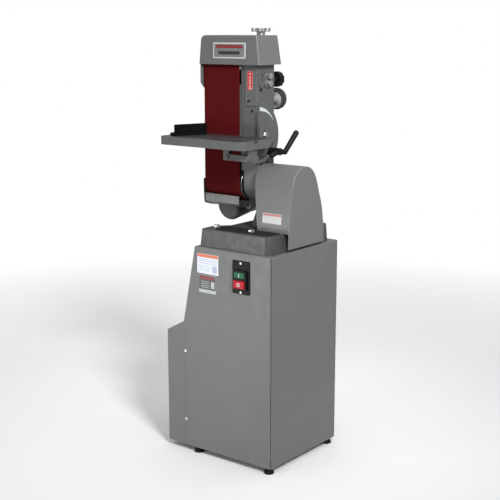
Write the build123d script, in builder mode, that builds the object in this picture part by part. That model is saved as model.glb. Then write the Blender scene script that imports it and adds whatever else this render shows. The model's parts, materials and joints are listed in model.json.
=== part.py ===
"""Pedestal belt sander: a 6 x 48 inch abrasive belt on a tilting head, above a sheet-metal cabinet.

Millimetres. +X is to the operator's right, +Y is away from the operator, +Z is up.
The origin is on the floor, under the middle of the machine.
"""
from build123d import *
import os
from math import cos, pi, radians, sin

os.makedirs("parts", exist_ok=True)

# --- Cabinet -------------------------------------------------------------------------
SHEET = 2.0
CABINET_LEFT, CABINET_RIGHT = -146.0, 230.0
CABINET_FRONT, CABINET_BACK = -186.0, 201.0
CABINET_BOTTOM, CABINET_TOP = 20.0, 740.0
CABINET_TOP_LEFT = -92.0
SLANT_START = 469.0
MOTOR_COVER_LEFT, MOTOR_COVER_HEIGHT = -225.0, 425.0
FLANGE = 38.0
FOOT_X = (-95.0, 211.0)
FOOT_Y = (-170.0, 172.0)
COVER_SCREWS = [(-138.0, 116.0), (-138.0, 364.0)]

# --- Base casting --------------------------------------------------------------------
BASE_TOP = 800.0
BASE_BOLTS = ((-43.0, -128.0), (104.0, -128.0), (0.0, 140.0), (150.0, 140.0))
BELT_SLOT_X = (146.0, 184.0)
BELT_SLOT_Y = (-30.0, 88.0)

# --- Abrasive belt and drums ---------------------------------------------------------
BELT_WIDTH, BELT_LENGTH, BELT_THICK = 152.4, 1219.2, 1.2
BELT_FRONT = -36.3
DRUM_R = 63.5
BELT_IN_R = DRUM_R + 0.3
BELT_OUT_R = BELT_IN_R + BELT_THICK
IDLER_R, IDLER_CROWN = 49.0, 0.7
IDLER_BELT_R = 51.0
ARBOR_Y, ARBOR_Z = BELT_FRONT + BELT_THICK + BELT_IN_R, 938.0
IDLER_Y = BELT_FRONT + BELT_THICK + IDLER_BELT_R
# length of an open belt round two drums, solved for the height of the upper one
IDLER_Z = ARBOR_Z + (BELT_LENGTH - pi * (BELT_IN_R + IDLER_BELT_R + BELT_THICK)) / 2
BELT_X = (-170.8, -18.4)
DRUM_X = (-173.2, -16.0)
SHAFT_R = 12.5

# --- Head column ---------------------------------------------------------------------
COLUMN_X = (-8.0, 52.0)
HUB_R = 57.0
COLUMN_Y = (ARBOR_Y - HUB_R, 65.0)
COLUMN_TOP = 1400.0
SNOUT_R = 40.0
WALL = 8.0
CAVITY_BOTTOM = 1196.0
TENSION_X, TENSION_Y = 30.0, 18.0
TENSION_TRAVEL = 12.0
LOCK_X, LOCK_Z = 36.0, 1288.0
TRACKING_X, TRACKING_Z = 34.0, 1222.0
YAW_X = 8.0

# --- Top cover -----------------------------------------------------------------------
COVER_BOTTOM, COVER_TOP = 1338.5, 1434.5
COVER_LOW = (-184.0, 74.0, -49.0, 76.0)
COVER_HIGH = (-178.0, 60.0, -45.0, 72.0)

# --- Work table ----------------------------------------------------------------------
TABLE_TOP, TABLE_RIM = 1103.0, 28.0
TABLE_X = (-230.0, 129.0)
TABLE_FRONT, TABLE_GAP = -204.0, 5.0
TABLE_BACK = BELT_FRONT - TABLE_GAP
TABLE_LIP = 3.6
SLOT_Y, SLOT_WIDTH, SLOT_DEPTH = -135.0, 19.1, 9.5
TILT_Y, TILT_Z = BELT_FRONT, TABLE_TOP
TRUNNION_R, TILT_R = 116.0, 86.0
TRUNNION_X = (52.0, 60.0)
BRACKET_X = (60.4, 72.0)
CLAMP_R, CLAMP_ANGLE = 69.3, -45.0
GUIDE_R, GUIDE_ANGLE = 28.0, 10.0
TILT_UP, TILT_DOWN = 20.0, 45.0
CLAMP_Y = TILT_Y + CLAMP_R * cos(radians(CLAMP_ANGLE))
CLAMP_Z = TILT_Z + CLAMP_R * sin(radians(CLAMP_ANGLE))
GUIDE_Y = TILT_Y + GUIDE_R * cos(radians(GUIDE_ANGLE))
GUIDE_Z = TILT_Z + GUIDE_R * sin(radians(GUIDE_ANGLE))

# --- Miter gauge ---------------------------------------------------------------------
MITER_X, MITER_TURN = -186.0, -20.0
MITER_R = 46.0

# --- Drive ---------------------------------------------------------------------------
PULLEY_X = 165.0
MOTOR_Z = 270.0
ARBOR_PULLEY_R, MOTOR_PULLEY_R = 35.0, 67.0
GROOVE_DEPTH = 9.5
V_BELT_DEPTH = 8.0
MOTOR_R = 82.0


def side(x):
    """Sketch in (Y, Z) at this X; extrudes toward +X."""
    return Plane.YZ.offset(x)


def front(y):
    """Sketch in (X, Z) at this Y; extrudes toward -Y."""
    return Plane.XZ.offset(-y)


def level(z):
    """Sketch in (X, Y) at this Z; extrudes toward +Z."""
    return Plane.XY.offset(z)


def block(x0, x1, y0, y1, z0, z1, mode=Mode.ADD):
    """A box given by its two limits on each axis."""
    with Locations(((x0 + x1) / 2, (y0 + y1) / 2, (z0 + z1) / 2)):
        Box(x1 - x0, y1 - y0, z1 - z0, mode=mode)


def rod(plane, at, radius, length, mode=Mode.ADD):
    """Cylinders standing on a plane, one at each point."""
    points = at if isinstance(at[0], tuple) else [at]
    with BuildSketch(plane) as ends:
        with Locations(*points):
            Circle(radius)
    extrude(ends.sketch, amount=length, mode=mode)


def tube(plane, at, outer, inner, length):
    """A ring standing on a plane."""
    with BuildSketch(plane) as ring:
        with Locations(at):
            Circle(outer)
            Circle(inner, mode=Mode.SUBTRACT)
    extrude(ring.sketch, amount=length)


def hex_bolts(plane, points, across, head, shank_r, shank):
    """Hex-head bolts whose heads sit on a plane, one at each point."""
    with BuildPart() as bolts:
        with BuildSketch(plane):
            with Locations(*points):
                RegularPolygon(across / 2, 6, major_radius=False)
        extrude(amount=head)
        rod(plane, points, shank_r, -shank)
    return bolts.part


def socket_screws(plane, points, head_r, head, shank_r, shank):
    """Cap screws with a hexagon socket, heads on a plane."""
    with BuildPart() as screws:
        rod(plane, points, head_r, head)
        with BuildSketch(plane.offset(head)):
            with Locations(*points):
                RegularPolygon(head_r * 0.52, 6)
        extrude(amount=-head * 0.6, mode=Mode.SUBTRACT)
        rod(plane, points, shank_r, -shank)
    return screws.part


def save(part, label):
    """Label a finished piece and write it."""
    part.label = label
    export_step(part, f"parts/{label}.step")


# =====================================================================================
# Cabinet
# =====================================================================================
CABINET_OUTLINE = ((CABINET_LEFT, CABINET_BOTTOM), (CABINET_RIGHT, CABINET_BOTTOM),
                   (CABINET_RIGHT, CABINET_TOP), (CABINET_TOP_LEFT, CABINET_TOP),
                   (CABINET_LEFT, SLANT_START))
FEET = [(x, y) for x in FOOT_X for y in FOOT_Y]
BACK_SCREWS = [(x, z) for x in (-88, 58, 204) for z in (62, 380, 698)]
BACK_PANEL_THICK = 1.5
POWER_INLET = (150.0, 110.0)
SWITCH_PLATE = (71.5, 144.0, 603.0, 715.0)
SWITCH_BOX = (78.0, 137.0, 612.0, 706.0)

with BuildPart() as cabinet:
    with BuildSketch(front(CABINET_FRONT)):
        Polygon(*CABINET_OUTLINE, align=None)
    extrude(amount=-(CABINET_BACK - CABINET_FRONT))
    uprights = cabinet.edges().filter_by(Axis.Z).group_by(Axis.X)[-1]
    fillet(uprights, 9)
    fillet(cabinet.faces().sort_by(Axis.Z)[-1].edges(), 4)
    with BuildSketch(front(CABINET_FRONT + SHEET)):
        Polygon(*CABINET_OUTLINE, align=None)
        offset(amount=-SHEET)
    extrude(amount=-(CABINET_BACK - CABINET_FRONT - 2 * SHEET), mode=Mode.SUBTRACT)
    # open bottom inside a folded flange
    block(CABINET_LEFT + FLANGE, CABINET_RIGHT - FLANGE, CABINET_FRONT + FLANGE,
          CABINET_BACK - FLANGE, CABINET_BOTTOM - 1, CABINET_BOTTOM + 3, Mode.SUBTRACT)
    rod(level(CABINET_BOTTOM - 1), FEET, 5.1, 4, Mode.SUBTRACT)
    # service opening at the back, motor opening at the left
    block(-80, 196, CABINET_BACK - 3, CABINET_BACK + 1, 70, 690, Mode.SUBTRACT)
    block(CABINET_LEFT - 1, CABINET_LEFT + 3, CABINET_FRONT + SHEET, CABINET_BACK - SHEET, 50, 420,
          Mode.SUBTRACT)
    rod(front(CABINET_BACK + 1), BACK_SCREWS, 2.6, 4, Mode.SUBTRACT)
    # top: drive belt slot and base bolts
    block(*BELT_SLOT_X, *BELT_SLOT_Y, CABINET_TOP - 3, CABINET_TOP + 1, Mode.SUBTRACT)
    rod(level(CABINET_TOP - 3), BASE_BOLTS, 5.2, 4, Mode.SUBTRACT)
    # front: switch opening and motor cover screws
    block(SWITCH_BOX[0], SWITCH_BOX[1], CABINET_FRONT - 1, CABINET_FRONT + 3,
          SWITCH_BOX[2], SWITCH_BOX[3], Mode.SUBTRACT)
    rod(front(CABINET_FRONT + 3), COVER_SCREWS, 2.6, 4, Mode.SUBTRACT)
save(cabinet.part, "cabinet")

with BuildPart() as back_panel:
    block(-100, 216, CABINET_BACK, CABINET_BACK + BACK_PANEL_THICK, 50, 712)
    rod(front(CABINET_BACK + 2), BACK_SCREWS, 2.6, 3, Mode.SUBTRACT)
    rod(front(CABINET_BACK + 2), POWER_INLET, 10.2, 3, Mode.SUBTRACT)
    with BuildSketch(front(CABINET_BACK + 2)):
        with GridLocations(90, 14, 2, 8):
            with Locations((58, 560)):
                SlotOverall(70, 5)
    extrude(amount=3, mode=Mode.SUBTRACT)
save(back_panel.part, "back_panel")

with BuildPart() as motor_cover:
    with BuildSketch(front(CABINET_FRONT)):
        Polygon((MOTOR_COVER_LEFT, CABINET_BOTTOM), (CABINET_LEFT, CABINET_BOTTOM),
                (CABINET_LEFT, SLANT_START), (MOTOR_COVER_LEFT, MOTOR_COVER_HEIGHT), align=None)
    extrude(amount=-(CABINET_BACK - CABINET_FRONT))
    fillet(motor_cover.edges().filter_by(Axis.Z).group_by(Axis.X)[0], 6)
    with BuildSketch(front(CABINET_FRONT + SHEET)):
        Polygon((MOTOR_COVER_LEFT + SHEET, CABINET_BOTTOM + SHEET), (CABINET_LEFT + 1, CABINET_BOTTOM + SHEET),
                (CABINET_LEFT + 1, SLANT_START - SHEET), (MOTOR_COVER_LEFT + SHEET, MOTOR_COVER_HEIGHT - SHEET),
                align=None)
    extrude(amount=-(CABINET_BACK - CABINET_FRONT - 2 * SHEET), mode=Mode.SUBTRACT)
    for _, z in COVER_SCREWS:
        for y in (CABINET_FRONT + SHEET, CABINET_BACK - 2 * SHEET):
            block(CABINET_LEFT - 10, CABINET_LEFT + 18, y, y + SHEET, z - 12, z + 12)
    rod(front(CABINET_FRONT + 5), COVER_SCREWS, 2.55, 6, Mode.SUBTRACT)
    with BuildSketch(side(MOTOR_COVER_LEFT - 1)):
        with Locations((8, 250)):
            with GridLocations(110, 18, 2, 8):
                SlotOverall(80, 6)
    extrude(amount=4, mode=Mode.SUBTRACT)
save(motor_cover.part, "motor_cover")

with BuildPart() as sheet_screws:
    rod(front(CABINET_BACK + 1.5), BACK_SCREWS, 2.5, 3)
    rod(front(CABINET_BACK + 1.5), BACK_SCREWS, 4.6, -1.5)
    rod(front(CABINET_FRONT), COVER_SCREWS, 5.2, 2.6)
    rod(front(CABINET_FRONT), COVER_SCREWS, 2.5, -6)
    for point in COVER_SCREWS:
        with BuildSketch(front(CABINET_FRONT - 2.6)):
            with Locations(point):
                Rectangle(7, 1.4)
        extrude(amount=-1.2, mode=Mode.SUBTRACT)
save(sheet_screws.part, "sheet_screws")

with BuildPart() as leveling_feet:
    with BuildSketch(level(0)):
        with Locations(*FEET):
            Circle(17)
    extrude(amount=7)
    with BuildSketch(level(7)):
        with Locations(*FEET):
            Circle(17)
    extrude(amount=5, taper=45)
    with BuildSketch(level(12)):
        with Locations(*FEET):
            RegularPolygon(9.5, 6, major_radius=False)
    extrude(amount=CABINET_BOTTOM - 12)
    rod(level(CABINET_BOTTOM), FEET, 5, 22)
save(leveling_feet.part, "leveling_feet")

# =====================================================================================
# Controls and plates on the cabinet
# =====================================================================================
PLATE_FACE = CABINET_FRONT - 2.5
BEZEL = 9.0
START_AT, START_SIZE, START_PROUD = (107.5, 668.0), (40.0, 20.0), 3.0
STOP_AT, STOP_SIZE, STOP_PROUD = (107.5, 637.0), (44.0, 26.0), 6.0

with BuildPart() as switch_plate:
    block(SWITCH_PLATE[0], SWITCH_PLATE[1], PLATE_FACE, CABINET_FRONT, SWITCH_PLATE[2], SWITCH_PLATE[3])
    fillet(switch_plate.edges().filter_by(Axis.Y), 5)
    fillet(switch_plate.faces().sort_by(Axis.Y)[0].edges(), 0.8)
    # raised bezel round the two buttons
    with BuildSketch(front(PLATE_FACE)):
        with Locations((107.5, 651)):
            RectangleRounded(54, 66, 4)
    extrude(amount=BEZEL)
    for at, size in ((START_AT, START_SIZE), (STOP_AT, STOP_SIZE)):
        with BuildSketch(front(PLATE_FACE - BEZEL)):
            with Locations(at):
                RectangleRounded(size[0] + 0.8, size[1] + 0.8, 2)
        extrude(amount=-BEZEL - 4, mode=Mode.SUBTRACT)
    rod(front(PLATE_FACE + 3), [(107.5, 707), (107.5, 609)], 2.3, 4, Mode.SUBTRACT)
save(switch_plate.part, "switch_plate")

with BuildPart() as switch_box:
    block(80, 135, CABINET_FRONT + 14, CABINET_FRONT + 62, 616, 702)
    fillet(switch_box.edges().filter_by(Axis.Y), 3)
save(switch_box.part, "switch_box")

switch_screws = socket_screws(front(PLATE_FACE), [(107.5, 707), (107.5, 609)], 4, 2, 2.2, 2.4)
save(switch_screws, "switch_screws")


def button(at, size, proud, corner):
    """A square push button standing out of the bezel."""
    with BuildPart() as key:
        with BuildSketch(front(CABINET_FRONT + 2)):
            with Locations(at):
                RectangleRounded(*size, 1.6)
        extrude(amount=CABINET_FRONT + 2 - PLATE_FACE + BEZEL + proud)
        fillet(key.faces().sort_by(Axis.Y)[0].edges(), corner)
    return key.part


save(button(START_AT, START_SIZE, START_PROUD, 0.8), "start_button")
save(button(STOP_AT, STOP_SIZE, STOP_PROUD, 1.6), "stop_button")


def plate(plane, x0, x1, z0, z1, thick, corner):
    """A thin plate with rounded corners, sketched in the plane's own axes."""
    with BuildSketch(plane) as face:
        with Locations(((x0 + x1) / 2, (z0 + z1) / 2)):
            RectangleRounded(x1 - x0, z1 - z0, corner)
    extrude(face.sketch, amount=thick)


with BuildPart() as cabinet_labels:
    plate(front(CABINET_FRONT), -82, 10, 650, 718, 0.5, 2)
    plate(front(CABINET_FRONT), -74, -1, 584, 646, 0.8, 2)
save(cabinet_labels.part, "cabinet_labels")

GLAND_BORE_R = 5.0
with BuildPart() as cord_gland:
    # flange outside the back panel, neck through it, hexagon nut and collar inside
    tube(front(CABINET_BACK + BACK_PANEL_THICK + 1.5), POWER_INLET, 12, GLAND_BORE_R, 1.5)
    tube(front(CABINET_BACK + BACK_PANEL_THICK), POWER_INLET, 10, GLAND_BORE_R, BACK_PANEL_THICK)
    with BuildSketch(front(CABINET_BACK)):
        with Locations(POWER_INLET):
            RegularPolygon(12, 6, major_radius=False)
            Circle(GLAND_BORE_R, mode=Mode.SUBTRACT)
    extrude(amount=6)
    tube(front(CABINET_BACK - 6), POWER_INLET, 9, GLAND_BORE_R, 7)
save(cord_gland.part, "cord_gland")

# =====================================================================================
# Base casting, mat and arbor pedestal
# =====================================================================================
with BuildPart() as base_casting:
    with BuildSketch(level(CABINET_TOP)) as footprint:
        with BuildLine():
            Polyline((-79, -172), (210, -172), (210, 178), (-38, 178), (-38, -62), (-79, -103), close=True)
        make_face()
        corners = footprint.vertices().sort_by(Axis.X)
        fillet(corners[-2:], 24)
        fillet(corners[:2].sort_by(Axis.Y)[:1], 14)
    extrude(amount=BASE_TOP - CABINET_TOP, taper=4.3)
    fillet(base_casting.faces().sort_by(Axis.Z)[-1].edges(), 3)
    # hollow underneath: 10 mm walls, 12 mm top
    with BuildSketch(level(CABINET_TOP)):
        with BuildLine():
            Polyline((-66, -159), (197, -159), (197, 165), (-25, 165), (-25, -66), (-66, -107), close=True)
        make_face()
    extrude(amount=BASE_TOP - CABINET_TOP - 12, taper=4.3, mode=Mode.SUBTRACT)
    # bolt bosses
    rod(level(CABINET_TOP), BASE_BOLTS, 14, BASE_TOP - CABINET_TOP - 10)
    rod(level(CABINET_TOP), BASE_BOLTS, 5.2, BASE_TOP - CABINET_TOP, Mode.SUBTRACT)
    block(*BELT_SLOT_X, *BELT_SLOT_Y, CABINET_TOP, BASE_TOP + 1, Mode.SUBTRACT)
save(base_casting.part, "base_casting")

save(hex_bolts(level(BASE_TOP), BASE_BOLTS, 19, 9, 5, 66), "base_bolts")

with BuildPart() as base_mat:
    with BuildSketch(level(BASE_TOP)):
        with Locations((84, -124.5)):
            RectangleRounded(232, 67, 12)
        with Locations(*BASE_BOLTS):
            Circle(12.5, mode=Mode.SUBTRACT)
    extrude(amount=1.6)
    with BuildSketch(level(BASE_TOP + 1.6)):
        for row in range(11):
            with Locations((84, -154 + 5.6 * row)):
                Rectangle(212, 2.4)
        with Locations(*BASE_BOLTS):
            Circle(14, mode=Mode.SUBTRACT)
    extrude(amount=0.9)
save(base_mat.part, "base_mat")

PEDESTAL_X = (53.0, 142.0)
UPRIGHT_RIGHT, UPRIGHT_R = 118.0, 42.0
PEDESTAL_BOLTS = [(130, y) for y in (-48, 20, 88)]
BEARING_R, BEARING_WIDE = 26.0, 15.0

with BuildPart() as arbor_pedestal:
    # foot flange
    block(*PEDESTAL_X, -62, 100, BASE_TOP, BASE_TOP + 12)
    fillet(arbor_pedestal.edges().filter_by(Axis.Z), 8)
    # tapered upright, wide at the foot and rounded round the shaft
    with BuildSketch(side(PEDESTAL_X[0])):
        with BuildLine():
            Line((-58, BASE_TOP + 12), (96, BASE_TOP + 12))
            Spline((96, BASE_TOP + 12), (80, 850), (ARBOR_Y + UPRIGHT_R, ARBOR_Z),
                   tangents=((-0.4, 1), (0, 1)))
            Line((ARBOR_Y + UPRIGHT_R, ARBOR_Z), (ARBOR_Y - UPRIGHT_R, ARBOR_Z))
            Spline((ARBOR_Y - UPRIGHT_R, ARBOR_Z), (-38, 850), (-58, BASE_TOP + 12),
                   tangents=((0, -1), (-0.4, -1)))
        make_face()
        with Locations((ARBOR_Y, ARBOR_Z)):
            Circle(UPRIGHT_R)
    extrude(amount=UPRIGHT_RIGHT - PEDESTAL_X[0])
    rod(side(PEDESTAL_X[0]), (ARBOR_Y, ARBOR_Z), 36, PEDESTAL_X[1] - PEDESTAL_X[0])
    # snout on which the head turns
    rod(side(COLUMN_X[0] + 2), (ARBOR_Y, ARBOR_Z), SNOUT_R, PEDESTAL_X[0] - COLUMN_X[0] - 2)
    rod(side(COLUMN_X[0]), (ARBOR_Y, ARBOR_Z), 20, 160, Mode.SUBTRACT)
    rod(side(COLUMN_X[0] + 1), (ARBOR_Y, ARBOR_Z), BEARING_R, 1 + BEARING_WIDE, Mode.SUBTRACT)
    rod(side(PEDESTAL_X[1] - BEARING_WIDE), (ARBOR_Y, ARBOR_Z), BEARING_R, BEARING_WIDE + 1, Mode.SUBTRACT)
    rod(level(BASE_TOP - 1), PEDESTAL_BOLTS, 4.2, 14, Mode.SUBTRACT)
save(arbor_pedestal.part, "arbor_pedestal")

save(hex_bolts(level(BASE_TOP + 12), PEDESTAL_BOLTS, 13, 6, 4.2, 12), "pedestal_bolts")

with BuildPart() as arbor_bearings:
    for x in (COLUMN_X[0] + 2, PEDESTAL_X[1] - BEARING_WIDE):
        tube(side(x), (ARBOR_Y, ARBOR_Z), BEARING_R, SHAFT_R + 0.03, BEARING_WIDE)
save(arbor_bearings.part, "arbor_bearings")

# =====================================================================================
# Arbor: shaft, drive drum, pulley
# =====================================================================================
ARBOR = (ARBOR_Y, ARBOR_Z)
HUB_BORE_X = (-128.0, -20.0)

with BuildPart() as arbor_shaft:
    rod(side(-150), ARBOR, SHAFT_R, 335)
    chamfer(arbor_shaft.edges().filter_by(GeomType.CIRCLE), 1)
save(arbor_shaft.part, "arbor_shaft")

with BuildPart() as drive_drum:
    tube(side(DRUM_X[0]), ARBOR, DRUM_R - 5, DRUM_R - 13, DRUM_X[1] - DRUM_X[0])
    tube(side(HUB_BORE_X[0]), ARBOR, 23, SHAFT_R, HUB_BORE_X[1] - HUB_BORE_X[0])
    tube(side(-96), ARBOR, DRUM_R - 12, 22, 12)
    chamfer(drive_drum.edges().filter_by(GeomType.CIRCLE).group_by(Axis.X)[0], 1)
    chamfer(drive_drum.edges().filter_by(GeomType.CIRCLE).group_by(Axis.X)[-1], 1)
save(drive_drum.part, "drive_drum")

with BuildPart() as drum_tire:
    tube(side(DRUM_X[0] + 0.6), ARBOR, DRUM_R, DRUM_R - 5, DRUM_X[1] - DRUM_X[0] - 1.2)
    fillet(drum_tire.edges().filter_by(GeomType.CIRCLE).sort_by(SortBy.RADIUS)[-2:], 1.5)
save(drum_tire.part, "drum_tire")

with BuildPart() as arbor_nut:
    with BuildSketch(side(-146)):
        with Locations(ARBOR):
            RegularPolygon(18, 6, major_radius=False)
            Circle(SHAFT_R, mode=Mode.SUBTRACT)
    extrude(amount=15)
    tube(side(-131), ARBOR, 22, SHAFT_R, 3)
save(arbor_nut.part, "arbor_nut")


def pulley(centre, outer, bore):
    """A single-groove V pulley with a hub on its left."""
    half = 9.0
    with BuildPart() as wheel:
        tube(side(PULLEY_X - half), centre, outer, bore, 2 * half)
        with BuildSketch(Plane.XZ.offset(-centre[0])):
            with BuildLine():
                Polyline((PULLEY_X - 6.6, centre[1] + outer + 1), (PULLEY_X + 6.6, centre[1] + outer + 1),
                         (PULLEY_X + 4.0, centre[1] + outer - GROOVE_DEPTH),
                         (PULLEY_X - 4.0, centre[1] + outer - GROOVE_DEPTH), close=True)
            make_face()
        revolve(axis=Axis((PULLEY_X, *centre), (1, 0, 0)), mode=Mode.SUBTRACT)
        tube(side(PULLEY_X - half - 9), centre, bore + 8, bore, 9)
    return wheel.part


save(pulley(ARBOR, ARBOR_PULLEY_R, SHAFT_R), "arbor_pulley")

MOTOR = (ARBOR_Y, MOTOR_Z)
MOTOR_SHAFT_R = 9.5
save(pulley(MOTOR, MOTOR_PULLEY_R, MOTOR_SHAFT_R), "motor_pulley")


def belt_loop(grow):
    """The outline round both pulleys, this far out of the groove bottoms."""
    with Locations(ARBOR):
        Circle(ARBOR_PULLEY_R - GROOVE_DEPTH + grow)
    with Locations(MOTOR):
        Circle(MOTOR_PULLEY_R - GROOVE_DEPTH + grow)
    make_hull()


with BuildPart() as v_belt:
    with BuildSketch(side(PULLEY_X - 3.7)) as outside:
        belt_loop(0.8 + V_BELT_DEPTH)
    with BuildSketch(side(PULLEY_X - 3.7)) as inside:
        belt_loop(0.8)
    extrude(outside.sketch, amount=7.4)
    extrude(inside.sketch, amount=7.4, mode=Mode.SUBTRACT)
save(v_belt.part, "v_belt")

# =====================================================================================
# Belt guard
# =====================================================================================
GUARD_RIGHT, GUARD_SHEET = 226.0, 2.5
GUARD_LEFT_TOP, GUARD_LEFT_BOTTOM = 64.0, 100.0
GUARD_SKIRT, GUARD_KNEE = 749.0, 812.0


def guard_outline(inward, foot):
    """Arch of the guard in (Y, Z) with a straight skirt down to the foot height."""
    with BuildLine() as outline:
        Polyline((112 - inward, GUARD_KNEE), (115 - inward, foot), (-89 + inward, foot),
                 (-87 + inward, GUARD_KNEE))
        Spline((-87 + inward, GUARD_KNEE), (-76 + inward, 909), (-42 + inward * 0.8, 999 - inward * 0.6),
               (6, 1014 - inward), (46 - inward * 0.8, 999 - inward * 0.6), (84 - inward, 925),
               (112 - inward, GUARD_KNEE), tangents=((0.04, 1), (0.1, -1)))
    make_face(outline.edges())


with BuildPart() as belt_guard:
    with BuildSketch(side(GUARD_LEFT_TOP)) as arch:
        guard_outline(0, BASE_TOP + 0.1)
    extrude(arch.sketch, amount=GUARD_RIGHT - GUARD_LEFT_TOP)
    # the open left end leans to the right toward the foot
    with BuildSketch(front(-120)) as lean_cut:
        Polygon((GUARD_LEFT_TOP - 4, 1020), (GUARD_LEFT_TOP - 1, 1020), (GUARD_LEFT_BOTTOM, BASE_TOP - 10),
                (GUARD_LEFT_TOP - 4, BASE_TOP - 10), align=None)
    extrude(lean_cut.sketch, amount=-260, mode=Mode.SUBTRACT)
    with BuildSketch(side(GUARD_RIGHT - GUARD_SHEET)) as skirt:
        guard_outline(0, GUARD_SKIRT)
    extrude(skirt.sketch, amount=GUARD_SHEET)
    right_rim = belt_guard.faces().sort_by(Axis.X)[-1].edges().filter_by(GeomType.BSPLINE)
    fillet(right_rim, 2)
    with BuildSketch(side(GUARD_LEFT_TOP - 1)) as hollow:
        guard_outline(GUARD_SHEET, BASE_TOP - 1)
    extrude(hollow.sketch, amount=GUARD_RIGHT - GUARD_LEFT_TOP + 1 - GUARD_SHEET, mode=Mode.SUBTRACT)
save(belt_guard.part, "belt_guard")

# =====================================================================================
# Head: column, belt, platen, guards
# =====================================================================================
IDLER = (IDLER_Y, IDLER_Z)
CAVITY_X = (COLUMN_X[0] + WALL, COLUMN_X[1] - WALL)
CAVITY_Y = (COLUMN_Y[0] + WALL, COLUMN_Y[1] - WALL)
FLANGE_LEFT = -16.6
FRONT_PLATE = (0.0, 52.0, 1204.0, 1366.0)
FRONT_PLATE_THICK = 3.0
FRONT_PLATE_SCREWS = [(17.8, 1220.0), (17.8, 1352.0)]
CARRIAGE_STOP = (29.6, 1187.0)
SIDE_SCREW = (-12.0, 1257.0)
TRUNNION_BOLTS = [(TILT_Y + 105 * cos(radians(a)), TILT_Z + 105 * sin(radians(a))) for a in (-60, -33)]

with BuildPart() as head_column:
    with BuildSketch(side(COLUMN_X[0])):
        with Locations(ARBOR):
            Circle(HUB_R)
        with Locations(((COLUMN_Y[0] + COLUMN_Y[1]) / 2, (ARBOR_Z + COLUMN_TOP) / 2)):
            Rectangle(COLUMN_Y[1] - COLUMN_Y[0], COLUMN_TOP - ARBOR_Z)
    extrude(amount=COLUMN_X[1] - COLUMN_X[0])
    fillet(head_column.edges().filter_by(Axis.Z), 3)
    # front flange that fills the width up to the belt's edge, between the drums
    block(FLANGE_LEFT, COLUMN_X[0] + 4, COLUMN_Y[0], COLUMN_Y[0] + WALL, 985, COVER_BOTTOM - 0.5)
    # open-topped cavity for the idler carriage, and a web hole lower down
    block(*CAVITY_X, *CAVITY_Y, CAVITY_BOTTOM, COLUMN_TOP + 1, Mode.SUBTRACT)
    block(*CAVITY_X, COLUMN_Y[0] + 12, COLUMN_Y[1] - 12, 1016, CAVITY_BOTTOM - 12, Mode.SUBTRACT)
    # window in the left wall for the idler axle
    block(COLUMN_X[0] - 1, CAVITY_X[0] + 1, IDLER_Y - 14, IDLER_Y + 14, IDLER_Z - 27, COLUMN_TOP + 1,
          Mode.SUBTRACT)
    # bore that turns on the snout
    rod(side(COLUMN_X[0] - 1), ARBOR, SNOUT_R + 0.05, 70, Mode.SUBTRACT)
    # holes in the back wall for the lock stud and the tracking screw
    rod(front(COLUMN_Y[1] + 1), (LOCK_X, LOCK_Z), 6.1, 10, Mode.SUBTRACT)
    rod(front(COLUMN_Y[1] + 1), (TRACKING_X, TRACKING_Z), 6.1, 10, Mode.SUBTRACT)
    # clamp, guide and trunnion bolt holes in the right wall
    rod(side(COLUMN_X[1] + 1), TRUNNION_BOLTS, 4.05, -WALL - 2, Mode.SUBTRACT)
    rod(side(COLUMN_X[1] + 1), SIDE_SCREW, 3.05, -WALL - 1, Mode.SUBTRACT)
    rod(front(COLUMN_Y[0] - 1), FRONT_PLATE_SCREWS + [CARRIAGE_STOP], 2.55, -WALL - 2, Mode.SUBTRACT)
save(head_column.part, "head_column")

with BuildPart() as front_plate:
    with BuildSketch(front(COLUMN_Y[0])):
        with Locations(((FRONT_PLATE[0] + FRONT_PLATE[1]) / 2, (FRONT_PLATE[2] + FRONT_PLATE[3]) / 2)):
            RectangleRounded(FRONT_PLATE[1] - FRONT_PLATE[0], FRONT_PLATE[3] - FRONT_PLATE[2], 3)
        with Locations(*FRONT_PLATE_SCREWS):
            Circle(2.6, mode=Mode.SUBTRACT)
    extrude(amount=FRONT_PLATE_THICK)
    fillet(front_plate.faces().sort_by(Axis.Y)[0].outer_wire().edges(), 1)
save(front_plate.part, "front_plate")
save(socket_screws(front(COLUMN_Y[0] - FRONT_PLATE_THICK), FRONT_PLATE_SCREWS, 4, 3, 2.5, 9)
     + socket_screws(front(COLUMN_Y[0]), [CARRIAGE_STOP], 4, 3, 2.5, 6), "front_plate_screws")


def round_drums(grow):
    """The outline pulled tight round both drums, this far outside the belt's inner face."""
    with Locations(ARBOR):
        Circle(BELT_IN_R + grow)
    with Locations(IDLER):
        Circle(IDLER_BELT_R + grow)
    make_hull()


with BuildPart() as abrasive_belt:
    with BuildSketch(side(BELT_X[0])) as belt_outside:
        round_drums(BELT_THICK)
    with BuildSketch(side(BELT_X[0])) as belt_inside:
        round_drums(0)
    extrude(belt_outside.sketch, amount=BELT_WIDTH)
    extrude(belt_inside.sketch, amount=BELT_WIDTH, mode=Mode.SUBTRACT)
save(abrasive_belt.part, "abrasive_belt")

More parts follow.
